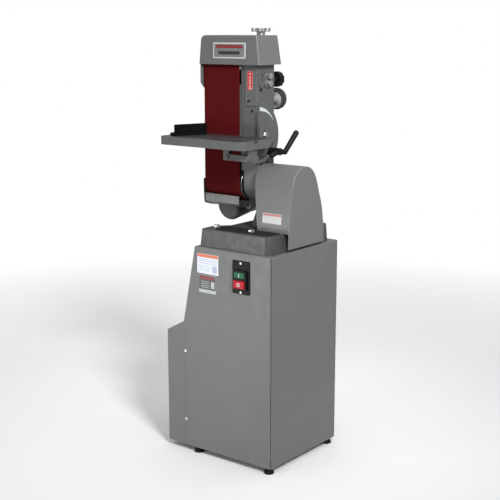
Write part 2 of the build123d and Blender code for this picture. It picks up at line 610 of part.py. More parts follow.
PLATEN_Z = (1012.0, 1272.0)
PLATEN_FACE = BELT_FRONT + BELT_THICK + 0.05
PLATEN_BOLTS = [(y, z) for y in (8, 38) for z in (1060, 1224)]
PLATEN_WEB_X = (-27.0, -17.6)
with BuildPart() as platen:
    block(-171, PLATEN_WEB_X[1], PLATEN_FACE + 1.6, PLATEN_FACE + 9.6, *PLATEN_Z)
    chamfer(platen.edges().filter_by(Axis.X).group_by(Axis.Y)[0], 3)
    # side web with ribs, and a pad that bolts to the column behind its flange
    block(*PLATEN_WEB_X, PLATEN_FACE + 9.6, 46, 1040, 1244)
    block(PLATEN_WEB_X[1], COLUMN_X[0], COLUMN_Y[0] + WALL + 0.4, 46, 1040, 1244)
    for z in (1086, 1142, 1198):
        with BuildSketch(level(z - 4)):
            Polygon((-160, PLATEN_FACE + 9.6), (PLATEN_WEB_X[0], PLATEN_FACE + 9.6), (PLATEN_WEB_X[0], 30),
                    align=None)
        extrude(amount=8)
    rod(side(COLUMN_X[0] + 1), PLATEN_BOLTS, 4.05, PLATEN_WEB_X[0] - COLUMN_X[0] - 2, Mode.SUBTRACT)
save(platen.part, "platen")
save(hex_bolts(side(PLATEN_WEB_X[0]), PLATEN_BOLTS, 13, -5, 4, PLATEN_WEB_X[0] - COLUMN_X[0]),
     "platen_bolts")

with BuildPart() as platen_pad:
    block(-170, -18, PLATEN_FACE, PLATEN_FACE + 1.6, PLATEN_Z[0] + 4, PLATEN_Z[1] - 4)
save(platen_pad.part, "platen_pad")


COVER_SHEET = 3.0
COVER_RISE = COVER_TOP - COVER_BOTTOM


def cover_section(height, inward, shift=0.0):
    """The cover's rectangle at a height above its mouth; shift moves the left side right."""
    share = height / COVER_RISE
    x0, x1, y0, y1 = (low + (high - low) * share for low, high in zip(COVER_LOW, COVER_HIGH))
    with BuildSketch(level(COVER_BOTTOM + height)) as section:
        with Locations(((x0 + x1 + shift) / 2, (y0 + y1) / 2)):
            Rectangle(x1 - x0 - shift - 2 * inward, y1 - y0 - 2 * inward)
    return section.sketch


with BuildPart() as top_cover:
    loft([cover_section(0, 0), cover_section(COVER_RISE, 0)])
    fillet(top_cover.faces().sort_by(Axis.Z)[-1].edges().sort_by(Axis.X)[0], 18)
    leaning = [e for e in top_cover.edges() if abs((e @ 1 - e @ 0).Z) > 40]
    fillet(leaning, 5)
    loft([cover_section(0, COVER_SHEET), cover_section(70, COVER_SHEET)], mode=Mode.SUBTRACT)
    loft([cover_section(70, COVER_SHEET), cover_section(COVER_RISE - COVER_SHEET, COVER_SHEET, 8)],
         mode=Mode.SUBTRACT)
    # lugs that stand on the column
    block(COLUMN_X[0], COLUMN_X[0] + 6, CAVITY_Y[1], COLUMN_Y[1] - 2, COLUMN_TOP, COVER_TOP - 2)
    block(COLUMN_X[1] - 7, COLUMN_X[1] - 1, CAVITY_Y[0] - 7, CAVITY_Y[0], COLUMN_TOP, COVER_TOP - 2)
    rod(level(COVER_TOP - 10), (TENSION_X, TENSION_Y), 9, 20, Mode.SUBTRACT)
save(top_cover.part, "top_cover")

# one plate leaning with the cover's front, one on the column's front plate
lean = Plane(origin=(0, COVER_LOW[2], COVER_BOTTOM), x_dir=(1, 0, 0),
             z_dir=(0, -(COVER_TOP - COVER_BOTTOM), COVER_HIGH[2] - COVER_LOW[2]))
with BuildPart() as head_labels:
    plate(lean, -121, 17, 20, 72, 1.2, 2)
    plate(front(COLUMN_Y[0] - FRONT_PLATE_THICK), 12, 34, 1256, 1318, 0.4, 5)
save(head_labels.part, "head_labels")

with BuildPart() as idler_guard:
    with BuildSketch(side(-180)):
        with BuildLine():
            Polyline((-46, 1338.5), (-46, 1276), (-30, 1258), (86, 1258), (86, 1300), (70, 1338.5), close=True)
        make_face()
    extrude(amount=2.5)
    fillet(idler_guard.edges().filter_by(Axis.X).sort_by(Axis.Z)[:3], 8)
    block(-180, -174.5, -40, 60, 1336, 1338.5)
save(idler_guard.part, "idler_guard")

# =====================================================================================
# Trunnion fixed to the column, tilt scale, dust parts
# =====================================================================================
PIVOT = (TILT_Y, TILT_Z)


def ring_sector(plane, centre, outer, inner, start, end, thick, mode=Mode.ADD):
    """Part of a ring between two angles, measured from +Y toward +Z."""
    with BuildSketch(plane) as sector:
        with BuildLine() as edge:
            CenterArc(centre, outer, start, end - start)
            CenterArc(centre, inner, start, end - start)
            for angle in (start, end):
                ray = (cos(radians(angle)), sin(radians(angle)))
                Line((centre[0] + inner * ray[0], centre[1] + inner * ray[1]),
                     (centre[0] + outer * ray[0], centre[1] + outer * ray[1]))
        make_face(edge.edges())
    extrude(sector.sketch, amount=thick, mode=mode)


def arc_slot(plane, centre, radius, start, end, width, thick):
    """Cut a slot along an arc, measured between the centres of its round ends."""
    ring_sector(plane, centre, radius + width / 2, radius - width / 2, start, end, thick, Mode.SUBTRACT)
    ends = [(centre[0] + radius * cos(radians(a)), centre[1] + radius * sin(radians(a))) for a in (start, end)]
    rod(plane, ends, width / 2, thick, Mode.SUBTRACT)


with BuildPart() as trunnion_plate:
    rod(side(TRUNNION_X[0]), PIVOT, TRUNNION_R, TRUNNION_X[1] - TRUNNION_X[0])
    block(TRUNNION_X[0] - 1, TRUNNION_X[1] + 1, TILT_Y - TRUNNION_R - 1, COLUMN_Y[0] + 1,
          TILT_Z - TRUNNION_R - 1, TILT_Z + TRUNNION_R + 1, Mode.SUBTRACT)
    fillet(trunnion_plate.faces().sort_by(Axis.X)[-1].edges().filter_by(GeomType.CIRCLE), 1.5)
    rod(side(TRUNNION_X[0] - 1), TRUNNION_BOLTS, 4.05, 12, Mode.SUBTRACT)
    rod(side(TRUNNION_X[0] - 1), [(CLAMP_Y, CLAMP_Z), (GUIDE_Y, GUIDE_Z)], 5.05, 12, Mode.SUBTRACT)
save(trunnion_plate.part, "trunnion_plate")
save(socket_screws(side(TRUNNION_X[1]), TRUNNION_BOLTS, 5, 4, 4, 15)
     + socket_screws(side(COLUMN_X[1]), [SIDE_SCREW], 4.5, 3, 3, 6), "trunnion_bolts")

with BuildPart() as guide_stud:
    rod(side(TRUNNION_X[0] + 0.5), (GUIDE_Y, GUIDE_Z), 5, 21.5)
    tube(side(BRACKET_X[1] + 0.4), (GUIDE_Y, GUIDE_Z), 14, 5, 1.6)
    with BuildSketch(side(BRACKET_X[1] + 2.0)):
        with Locations((GUIDE_Y, GUIDE_Z)):
            RegularPolygon(9.5, 6, major_radius=False)
    extrude(amount=7)
save(guide_stud.part, "guide_stud")

with BuildPart() as tilt_scale:
    ring_sector(side(TRUNNION_X[1]), PIVOT, 99, 87.5, 32, 84, 0.5)
save(tilt_scale.part, "tilt_scale")

ADJUSTER_BOSS, ADJUSTER_THICK = (-12.0, 1289.0), 5.0
ADJUSTER_BOLTS = [(26.0, 1277.0), (26.0, 1301.0)]
with BuildPart() as adjuster_boss:
    # raised oval with a recess, and a lower pad under the two adjuster bolts
    with BuildSketch(side(COLUMN_X[1])):
        with Locations(ADJUSTER_BOSS):
            SlotOverall(50, 28, rotation=90)
        with Locations((ADJUSTER_BOLTS[0][0] - 5, ADJUSTER_BOSS[1])):
            SlotOverall(54, 44, rotation=90)
    extrude(amount=ADJUSTER_THICK)
    fillet(adjuster_boss.faces().sort_by(Axis.X)[-1].edges(), 1.2)
    with BuildSketch(side(COLUMN_X[1] + ADJUSTER_THICK)):
        with Locations(ADJUSTER_BOSS):
            SlotOverall(40, 17, rotation=90)
    extrude(amount=1 - ADJUSTER_THICK, mode=Mode.SUBTRACT)
    rod(side(COLUMN_X[1] - 1), ADJUSTER_BOLTS, 4.05, ADJUSTER_THICK + 2, Mode.SUBTRACT)
save(adjuster_boss.part, "adjuster_boss")
save(hex_bolts(side(COLUMN_X[1] + ADJUSTER_THICK), ADJUSTER_BOLTS, 19, 10, 4, ADJUSTER_THICK),
     "adjuster_bolts")

# bare-metal scoop under the drum: a front apron, a floor running back, and a left end plate
HOOD_FRONT = -32.5
HOOD_PROFILE = ((HOOD_FRONT, 895), (HOOD_FRONT, 868), (-26, 862), (0, 853.5), (42, 846))
with BuildPart() as dust_hood:
    with BuildSketch(side(-174)) as sheet:
        with BuildLine() as fold:
            Polyline(*HOOD_PROFILE)
            offset(amount=1.0, side=Side.BOTH)
        make_face(fold.edges())
    extrude(sheet.sketch, amount=150.5)
    with BuildSketch(side(-176)) as end:
        Polygon((-39, 947), (-39, 922), (-36, 866), (-30, 860), (0, 851), (42, 844), (50, 870), (-20, 900),
                (-30, 947), align=None)
        fillet(end.vertices().group_by(Axis.Y)[-1], 4)
    extrude(end.sketch, amount=2)
    # tongue that fixes the scoop to the column
    block(-24, COLUMN_X[0], 8, 24, 849.5, 852.5)
    block(COLUMN_X[0] - 2.5, COLUMN_X[0], 8, 24, 849.5, 896)
save(dust_hood.part, "dust_hood")

# round dust duct, fed from the drum and leaving toward the back
DUCT_X, DUCT_TILT = -94.6, radians(9.0)
DUCT_R, DUCT_SHEET, DUCT_CORNER = 48.5, 2.0, 14.0
PORT_R, DUCT_LONG, PORT_LONG = 50.5, 120.0, 48.0
# sketch plane through the duct's axis: local x is a radius, local y runs along the duct
DUCT_PLANE = Plane(origin=(DUCT_X, -6, 848), x_dir=(1, 0, 0), z_dir=(0, -sin(DUCT_TILT), cos(DUCT_TILT)))
with BuildPart() as dust_duct:
    with BuildSketch(DUCT_PLANE):
        with BuildLine():
            Line((0, 0), (DUCT_R - DUCT_CORNER, 0))
            RadiusArc((DUCT_R - DUCT_CORNER, 0), (DUCT_R, DUCT_CORNER), -DUCT_CORNER)
            Polyline((DUCT_R, DUCT_CORNER), (DUCT_R, DUCT_LONG), (PORT_R, DUCT_LONG),
                     (PORT_R, DUCT_LONG + PORT_LONG), (DUCT_R - DUCT_SHEET, DUCT_LONG + PORT_LONG),
                     (DUCT_R - DUCT_SHEET, DUCT_CORNER))
            RadiusArc((DUCT_R - DUCT_SHEET, DUCT_CORNER), (DUCT_R - DUCT_CORNER, DUCT_SHEET),
                      DUCT_CORNER - DUCT_SHEET)
            Polyline((DUCT_R - DUCT_CORNER, DUCT_SHEET), (0, DUCT_SHEET), (0, 0))
        make_face()
    revolve(axis=Axis(DUCT_PLANE.origin, DUCT_PLANE.y_dir))
    # the scoop empties into the duct's open top
    with BuildSketch(side(DUCT_X - DUCT_R - 1)):
        Polygon((-90, 960), (-90, 867), (HOOD_FRONT - 1.2, 867), (-26.4, 860.7), (-0.3, 852.2), (43, 844.6),
                (43, 960), align=None)
    extrude(amount=2 * DUCT_R + 2, mode=Mode.SUBTRACT)
    rod(side(-230), ARBOR, BELT_OUT_R + 12, 250, Mode.SUBTRACT)
save(dust_duct.part, "dust_duct")

# =====================================================================================
# Idler: carriage, tilting axle, drum
# =====================================================================================
SLIDE_FIT = 0.4
CARRIAGE_X = (CAVITY_X[0] + SLIDE_FIT, CAVITY_X[1] - SLIDE_FIT)
CARRIAGE_BACK = CAVITY_Y[1] - SLIDE_FIT
YOKE_IN = 20.0
ARM_X, ARM_Y = (24.0, 43.0), (22.0, 34.0)

with BuildPart() as idler_carriage:
    block(*CARRIAGE_X, CARRIAGE_BACK - 12, CARRIAGE_BACK, 1268, IDLER_Z + YOKE_IN + 8)
    block(*CARRIAGE_X, CAVITY_Y[0] + SLIDE_FIT, CARRIAGE_BACK - 12, IDLER_Z + YOKE_IN, IDLER_Z + YOKE_IN + 8)
    block(*CARRIAGE_X, CAVITY_Y[0] + SLIDE_FIT, CARRIAGE_BACK - 12, IDLER_Z - YOKE_IN - 10, IDLER_Z - YOKE_IN)
    # clearance for the tracking arm
    block(ARM_X[0] - 3, CAVITY_X[1] + 1, ARM_Y[0] - 3, ARM_Y[1] + 3, IDLER_Z - YOKE_IN - 11,
          IDLER_Z - YOKE_IN + 1, Mode.SUBTRACT)
    # nut for the tension screw
    rod(level(IDLER_Z + YOKE_IN), (TENSION_X, TENSION_Y), 11, 8)
    rod(level(IDLER_Z + YOKE_IN - 1), (TENSION_X, TENSION_Y), 6.05, 30, Mode.SUBTRACT)
    # pin on which the axle turns a little to steer the belt
    rod(level(IDLER_Z - YOKE_IN - 10), (YAW_X, IDLER_Y), 5, 2 * YOKE_IN + 18)
save(idler_carriage.part, "idler_carriage")

with BuildPart() as idler_axle:
    # boss between the yoke plates
    block(1.0, ARM_X[1], IDLER_Y - 11, IDLER_Y + 18, IDLER_Z - YOKE_IN + 0.4, IDLER_Z + YOKE_IN - 0.4)
    rod(side(-168), (IDLER_Y, IDLER_Z), 10, 170)
    block(*ARM_X, *ARM_Y, CAVITY_BOTTOM + TENSION_TRAVEL + 1, IDLER_Z - YOKE_IN + 1)
    # slot for the tracking screw, long enough for the tension travel
    with BuildSketch(front(ARM_Y[1] + 1)):
        with Locations((TRACKING_X, TRACKING_Z + TENSION_TRAVEL / 2)):
            Rectangle(13, TENSION_TRAVEL + 16)
    extrude(amount=ARM_Y[1] - ARM_Y[0] + 2, mode=Mode.SUBTRACT)
    rod(level(IDLER_Z - YOKE_IN), (YAW_X, IDLER_Y), 5.06, 2 * YOKE_IN, Mode.SUBTRACT)
save(idler_axle.part, "idler_axle")

IDLER_X = (-170.6, -18.0)
IDLER_RIM = 7.0
with BuildPart() as idler_drum:
    with BuildSketch(front(IDLER_Y)):
        with BuildLine():
            Polyline((IDLER_X[0], IDLER_Z + IDLER_R), (IDLER_X[0], IDLER_Z + IDLER_R - IDLER_RIM),
                     (IDLER_X[1], IDLER_Z + IDLER_R - IDLER_RIM), (IDLER_X[1], IDLER_Z + IDLER_R))
            ThreePointArc((IDLER_X[0], IDLER_Z + IDLER_R),
                          (sum(IDLER_X) / 2, IDLER_Z + IDLER_R + IDLER_CROWN), (IDLER_X[1], IDLER_Z + IDLER_R))
        make_face()
    revolve(axis=Axis((0, *IDLER), (1, 0, 0)))
    # webs, with a bearing pressed into each
    for x in (IDLER_X[0] + 4, IDLER_X[1] - 18):
        tube(side(x), IDLER, IDLER_R - IDLER_RIM + 0.5, 10.04, 14)
save(idler_drum.part, "idler_drum")

# =====================================================================================
# Head controls: tension knob, lock knob, tracking handwheel
# =====================================================================================
STAR_R, STAR_BASE, STAR_TOP = 34.0, 1446.0, 1458.0
with BuildPart() as tension_knob:
    with BuildSketch(level(STAR_BASE)):
        with Locations((TENSION_X, TENSION_Y)):
            Circle(STAR_R - 10)
            with PolarLocations(STAR_R - 9, 6):
                Circle(9)
    extrude(amount=STAR_TOP - STAR_BASE)
    fillet(tension_knob.faces().sort_by(Axis.Z)[-1].edges(), 2.5)
    fillet(tension_knob.faces().sort_by(Axis.Z)[0].edges(), 1.5)
    with BuildSketch(level(COVER_TOP + 0.5)):
        with Locations((TENSION_X, TENSION_Y)):
            Circle(14)
    extrude(amount=STAR_BASE - COVER_TOP)
    rod(level(IDLER_Z + YOKE_IN + 2), (TENSION_X, TENSION_Y), 6, STAR_BASE - IDLER_Z - YOKE_IN - 1)
save(tension_knob.part, "tension_knob")

with BuildPart() as lock_knob:
    with BuildSketch(front(COLUMN_Y[1] + 46)):
        with Locations((LOCK_X, LOCK_Z)):
            Circle(26)
            with PolarLocations(28.5, 10):
                Circle(4.4, mode=Mode.SUBTRACT)
    extrude(amount=24)
    fillet(lock_knob.faces().sort_by(Axis.Y)[-1].edges(), 2.5)
    rod(front(COLUMN_Y[1] + 24), (LOCK_X, LOCK_Z), 13, 22)
    rod(front(COLUMN_Y[1] + 4), (LOCK_X, LOCK_Z), 6, COLUMN_Y[1] + 4 - CARRIAGE_BACK - 0.5)
save(lock_knob.part, "lock_knob")

WHEEL_R, WHEEL_FRONT = 37.0, COLUMN_Y[1] + 30
COLLAR_GAP = 0.6
with BuildPart() as tracking_handwheel:
    with BuildSketch(Plane.XY.offset(TRACKING_Z)):
        with BuildLine():
            Polyline((TRACKING_X, WHEEL_FRONT - 18), (TRACKING_X + 12, WHEEL_FRONT - 18),
                     (TRACKING_X + 12, WHEEL_FRONT + 2), (TRACKING_X + 28, WHEEL_FRONT + 12),
                     (TRACKING_X + 30, WHEEL_FRONT), (TRACKING_X + WHEEL_R - 1, WHEEL_FRONT + 1),
                     (TRACKING_X + WHEEL_R, WHEEL_FRONT + 6), (TRACKING_X + WHEEL_R - 2, WHEEL_FRONT + 17),
                     (TRACKING_X + 30, WHEEL_FRONT + 20), (TRACKING_X + 12, WHEEL_FRONT + 12),
                     (TRACKING_X, WHEEL_FRONT + 12), close=True)
        make_face()
    revolve(axis=Axis((TRACKING_X, 0, TRACKING_Z), (0, 1, 0)))
    # screw through the column's back wall, with a collar each side of the arm
    rod(front(WHEEL_FRONT - 17), (TRACKING_X, TRACKING_Z), 6, WHEEL_FRONT - 17 - ARM_Y[0] + 7)
    rod(front(ARM_Y[0] - COLLAR_GAP), (TRACKING_X, TRACKING_Z), 9, 5)
    rod(front(ARM_Y[1] + COLLAR_GAP + 5), (TRACKING_X, TRACKING_Z), 9, 5)
save(tracking_handwheel.part, "tracking_handwheel")

# =====================================================================================
# Work table and its tilting bracket
# =====================================================================================
TABLE_SHEET = 8.0
TABLE_UNDER = TABLE_TOP - TABLE_SHEET
RIB_BOTTOM = TABLE_TOP - SLOT_DEPTH - 7.5
ARM_BAR_Y, ARM_BAR_Z = (-136.0, -116.0), (1031.0, 1052.0)

with BuildPart() as table:
    block(*TABLE_X, TABLE_FRONT, TABLE_BACK, TABLE_TOP - TABLE_RIM, TABLE_TOP)
    fillet(table.edges().filter_by(Axis.Z).group_by(Axis.Y)[0], 16)
    fillet(table.faces().sort_by(Axis.Z)[-1].edges().sort_by(Axis.Y)[:-1], 1.2)
    block(TABLE_X[0] + 8, TABLE_X[1] - 8, TABLE_FRONT + 8, TABLE_BACK + 1, TABLE_TOP - TABLE_RIM - 1,
          TABLE_UNDER, Mode.SUBTRACT)
    # rib under the miter slot, then the slot
    block(TABLE_X[0] + 7, TABLE_X[1] - 7, SLOT_Y - 16, SLOT_Y + 16, RIB_BOTTOM, TABLE_UNDER + 1)
    block(TABLE_X[0] - 1, TABLE_X[1] + 1, SLOT_Y - SLOT_WIDTH / 2, SLOT_Y + SLOT_WIDTH / 2,
          TABLE_TOP - SLOT_DEPTH, TABLE_TOP + 1, Mode.SUBTRACT)
    # bevel under the back edge, so the table can tilt beside the belt
    with BuildSketch(side(TABLE_X[0] - 1)):
        Polygon((TABLE_BACK + 1, TABLE_TOP - TABLE_LIP + 1), (TABLE_BACK + 1, TABLE_TOP - 40),
                (TABLE_BACK - 40 + TABLE_LIP, TABLE_TOP - 40), align=None)
    extrude(amount=TABLE_X[1] - TABLE_X[0] + 2, mode=Mode.SUBTRACT)
save(table.part, "table")

with BuildPart() as table_arm:
    block(-8, 122, *ARM_BAR_Y, *ARM_BAR_Z)
    for x0, x1 in ((-8, 16), (94, 118)):
        block(x0, x1, *ARM_BAR_Y, ARM_BAR_Z[1], RIB_BOTTOM)
    with BuildSketch(front(ARM_BAR_Y[0])):
        with Locations((10, 1041.5), (110, 1041.5)):
            RegularPolygon(6.5, 6, major_radius=False)
    extrude(amount=5)
save(table_arm.part, "table_arm")

POINTER_ANGLE = 35.0
with BuildPart() as tilt_bracket:
    rod(side(BRACKET_X[0]), PIVOT, TILT_R, BRACKET_X[1] - BRACKET_X[0])
    block(*BRACKET_X, ARM_BAR_Y[1], TILT_Y, ARM_BAR_Z[0], TABLE_UNDER)
    block(BRACKET_X[0] - 1, BRACKET_X[1] + 1, TILT_Y - TILT_R - 1, TABLE_BACK + 1, TABLE_UNDER,
          TILT_Z + TILT_R + 1, Mode.SUBTRACT)
    block(BRACKET_X[0] - 1, BRACKET_X[1] + 1, TILT_Y - TILT_R - 1, ARM_BAR_Y[1], RIB_BOTTOM - 60,
          TABLE_UNDER + 1, Mode.SUBTRACT)
    # slots for the clamp stud and the guide stud, as long as the tilt
    for radius, angle in ((CLAMP_R, CLAMP_ANGLE), (GUIDE_R, GUIDE_ANGLE)):
        arc_slot(side(BRACKET_X[0] - 1), PIVOT, radius, angle - TILT_DOWN - 3, angle + TILT_UP + 3, 11, 14)
    # pointer in front of the scale
    with BuildSketch(side(BRACKET_X[0] + 2)) as tip:
        with Locations(Location((TILT_Y, TILT_Z, 0), (0, 0, POINTER_ANGLE))):
            Polygon((TILT_R - 8, -7), (TILT_R - 8, 7), (TILT_R + 6, 0), align=None)
    extrude(tip.sketch, amount=4)
save(tilt_bracket.part, "tilt_bracket")


def taper(start, end, start_r, end_r):
    """A round bar between two points, with its own radius at each end."""
    reach = Vector(*end) - Vector(*start)
    with BuildSketch(Plane(origin=start, z_dir=reach)) as near:
        Circle(start_r)
    with BuildSketch(Plane(origin=end, z_dir=reach)) as far:
        Circle(end_r)
    loft([near.sketch, far.sketch])
    with Locations(start):
        Sphere(start_r)
    with Locations(end):
        Sphere(end_r)


with BuildPart() as clamp_lever:
    rod(side(TRUNNION_X[0] + 0.5), (CLAMP_Y, CLAMP_Z), 5, 30)
    rod(side(BRACKET_X[1] + 0.4), (CLAMP_Y, CLAMP_Z), 12, 46)
    taper((112, CLAMP_Y, CLAMP_Z), (117, CLAMP_Y + 26, CLAMP_Z - 3), 8, 9)
    taper((117, CLAMP_Y + 26, CLAMP_Z - 3), (126, CLAMP_Y + 76, CLAMP_Z + 57), 8.5, 9.5)
    taper((110, CLAMP_Y, CLAMP_Z), (104, CLAMP_Y - 30, CLAMP_Z - 11), 7, 8.5)
save(clamp_lever.part, "clamp_lever")

# =====================================================================================
# Miter gauge
# =====================================================================================
MITER_FENCE = (15.0, 23.0)
MITER_BASE = TABLE_TOP + 0.4
MITER_PLATE = 7.0

with BuildPart() as miter_bar:
    block(-226, -26, SLOT_Y - 9.2, SLOT_Y + 9.2, TABLE_TOP - 9.1, TABLE_TOP - 0.2)
    fillet(miter_bar.edges().filter_by(Axis.Z), 2)
    rod(level(TABLE_TOP - 7), (MITER_X, SLOT_Y), 4.06, 8, Mode.SUBTRACT)
save(miter_bar.part, "miter_bar")

with BuildPart() as miter_head:
    with BuildSketch(level(MITER_BASE)) as base_plate:
        with Locations(Location((MITER_X, SLOT_Y, 0), (0, 0, MITER_TURN))):
            Circle(MITER_R - 4)
            Rectangle(30, 84, align=(Align.MIN, Align.CENTER))
            with Locations((MITER_FENCE[0], 0)):
                Rectangle(60, 120, align=(Align.MIN, Align.CENTER), mode=Mode.SUBTRACT)
            with PolarLocations(32, 9, 105, 150):
                Circle(2, mode=Mode.SUBTRACT)
    extrude(base_plate.sketch, amount=MITER_PLATE)
    # upright fence
    with BuildSketch(level(MITER_BASE)) as fence:
        with Locations(Location((MITER_X, SLOT_Y, 0), (0, 0, MITER_TURN))):
            with Locations((sum(MITER_FENCE) / 2, 21)):
                Rectangle(MITER_FENCE[1] - MITER_FENCE[0], 122)
    extrude(fence.sketch, amount=38)
    fillet(miter_head.faces().sort_by(Axis.Z)[-1].edges(), 1.5)
    rod(level(MITER_BASE - 1), (MITER_X, SLOT_Y), 4.06, 12, Mode.SUBTRACT)
save(miter_head.part, "miter_head")

with BuildPart() as miter_knob:
    with BuildSketch(level(MITER_BASE + MITER_PLATE + 6)):
        with Locations((MITER_X, SLOT_Y)):
            Circle(12)
            with PolarLocations(13, 8):
                Circle(2, mode=Mode.SUBTRACT)
    extrude(amount=16)
    fillet(miter_knob.faces().sort_by(Axis.Z)[-1].edges(), 1.2)
    rod(level(MITER_BASE + MITER_PLATE + 0.4), (MITER_X, SLOT_Y), 8, 6)
    rod(level(TABLE_TOP - 6.6), (MITER_X, SLOT_Y), 4, MITER_BASE + MITER_PLATE + 8 - TABLE_TOP + 6.6)
save(miter_knob.part, "miter_knob")

# =====================================================================================
# Motor on its shelf
# =====================================================================================
MOTOR_X = (-172.0, 112.0)
BELL = 22.0
SHELF_TOP = 150.0

with BuildPart() as motor_frame:
    tube(side(MOTOR_X[0] + BELL), MOTOR, MOTOR_R, MOTOR_R - 5, MOTOR_X[1] - MOTOR_X[0] - 2 * BELL)
    # end bells with the bearing seats
    tube(side(MOTOR_X[0]), MOTOR, MOTOR_R - 6, MOTOR_SHAFT_R + 0.05, BELL)
    tube(side(MOTOR_X[1] - BELL), MOTOR, MOTOR_R - 6, MOTOR_SHAFT_R + 0.05, BELL)
    tube(side(MOTOR_X[0] + BELL - 8), MOTOR, MOTOR_R - 1, MOTOR_R - 8, 8)
    tube(side(MOTOR_X[1] - BELL), MOTOR, MOTOR_R - 1, MOTOR_R - 8, 8)
    # wound stator
    tube(side(-112), MOTOR, MOTOR_R - 4, 46, 164)
    # terminal box toward the operator, capacitor on top
    block(-30, 60, ARBOR_Y - MOTOR_R - 34, ARBOR_Y - MOTOR_R + 12, MOTOR_Z - 34, MOTOR_Z + 34)
    rod(side(-95), (ARBOR_Y, MOTOR_Z + MOTOR_R + 18), 22, 120)
    block(-80, 10, ARBOR_Y - 16, ARBOR_Y + 16, MOTOR_Z + MOTOR_R - 6, MOTOR_Z + MOTOR_R + 10)
    rod(side(-100), MOTOR, 45.5, 140, Mode.SUBTRACT)
save(motor_frame.part, "motor_frame")

with BuildPart() as motor_rotor:
    rod(side(-100), MOTOR, 45, 140)
    rod(side(MOTOR_X[0] - 6), MOTOR, MOTOR_SHAFT_R, 178 - MOTOR_X[0] + 6)
save(motor_rotor.part, "motor_rotor")

with BuildPart() as motor_shelf:
    block(CABINET_LEFT + SHEET, CABINET_RIGHT - SHEET, CABINET_FRONT + SHEET, 190, SHELF_TOP - 4, SHELF_TOP)
    for x in (-112, 52):
        block(x, x + 8, ARBOR_Y - 70, ARBOR_Y + 70, SHELF_TOP, MOTOR_Z - 30)
    rod(side(CABINET_LEFT), MOTOR, MOTOR_R, 300, Mode.SUBTRACT)
    # slot where the drive belt and the large pulley pass the shelf's edge
    block(PULLEY_X - 22, PULLEY_X + 22, ARBOR_Y - 76, ARBOR_Y + 76, SHELF_TOP - 5, SHELF_TOP + 1, Mode.SUBTRACT)
save(motor_shelf.part, "motor_shelf")
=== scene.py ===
import json
from math import cos, pi, radians, sin, sqrt

import bmesh
import bpy
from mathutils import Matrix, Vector
from mathutils.bvhtree import BVHTree


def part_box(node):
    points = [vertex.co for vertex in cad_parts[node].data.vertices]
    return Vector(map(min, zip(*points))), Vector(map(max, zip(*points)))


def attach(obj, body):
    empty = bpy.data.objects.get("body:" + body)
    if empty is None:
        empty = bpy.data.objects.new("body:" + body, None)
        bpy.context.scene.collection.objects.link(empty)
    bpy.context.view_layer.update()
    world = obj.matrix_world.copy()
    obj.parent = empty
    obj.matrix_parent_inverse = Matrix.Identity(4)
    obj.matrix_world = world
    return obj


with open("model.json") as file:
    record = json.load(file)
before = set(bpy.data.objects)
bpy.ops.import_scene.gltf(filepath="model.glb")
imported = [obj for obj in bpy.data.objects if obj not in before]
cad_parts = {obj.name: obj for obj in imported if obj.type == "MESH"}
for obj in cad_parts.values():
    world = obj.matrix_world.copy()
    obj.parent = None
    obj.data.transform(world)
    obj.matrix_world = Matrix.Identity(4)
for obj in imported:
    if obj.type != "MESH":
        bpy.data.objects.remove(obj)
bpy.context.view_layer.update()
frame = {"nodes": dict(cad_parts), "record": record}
MM = 0.001

# --- camera and lights ----------------------------------------------------------------
CAMERA_PLACE = (2.2128, -2.8456, 1.4566)
CAMERA_TURN = (78.25, 0, 37.89)  # degrees about X, Y and Z
LENS_MM = 76.73
SENSOR_MM = 36
WORLD_SEEN = 1.0
WORLD_LIT = 0.5


def make_camera():
    camera_data = bpy.data.cameras.new("camera")
    camera_data.sensor_width = SENSOR_MM
    camera_data.lens = LENS_MM
    camera = bpy.data.objects.new("camera", camera_data)
    camera.location = CAMERA_PLACE
    camera.rotation_euler = [radians(angle) for angle in CAMERA_TURN]
    bpy.context.scene.collection.objects.link(camera)
    bpy.context.scene.camera = camera


def soft_light(name, location, target, size, watts, spread=180):
    """A round area light aimed at the target. Sizes in metres, spread in degrees."""
    light_data = bpy.data.lights.new(name, "AREA")
    light_data.spread = radians(spread)
    light_data.shape = "DISK"
    light_data.size = size
    light_data.energy = watts
    light = bpy.data.objects.new(name, light_data)
    light.location = location
    aim = Vector(target) - Vector(location)
    light.rotation_euler = aim.to_track_quat("-Z", "Y").to_euler()
    bpy.context.scene.collection.objects.link(light)


def make_world():
    """White to the camera, and dimmer as the light that falls on the object."""
    world = bpy.data.worlds.new("studio")
    bpy.context.scene.world = world
    world.use_nodes = True
    tree = world.node_tree
    background = tree.nodes["Background"]
    background.inputs["Color"].default_value = (1, 1, 1, 1)
    path = tree.nodes.new("ShaderNodeLightPath")
    strength = tree.nodes.new("ShaderNodeMapRange")
    strength.inputs["To Min"].default_value = WORLD_LIT
    strength.inputs["To Max"].default_value = WORLD_SEEN
    tree.links.new(path.outputs["Is Camera Ray"], strength.inputs["Value"])
    tree.links.new(strength.outputs["Result"], background.inputs["Strength"])


# --- procedural materials -------------------------------------------------------------
MOTTLE_BAND = (0.35, 0.7)  # noise values between which a mottled colour fades in
GLOSS_BAND = (0.3, 0.7)  # noise values between which the roughness drifts
EDGE_HIGHLIGHT_BAND = (0.995, 0.9)  # cosine of softened against flat normal, plain to painted highlight
UPWARD_BAND = (0.92, 0.97)  # normal's Z where a face starts to count as the top
EDGE_BLUR = 0.0006
ENAMEL_SPECULAR = 0.45
PLASTIC_SPECULAR = 0.18


def shade(color, factor, lift=0.0):
    """The colour made lighter or darker."""
    return tuple(min(1, factor * c + lift) for c in color)


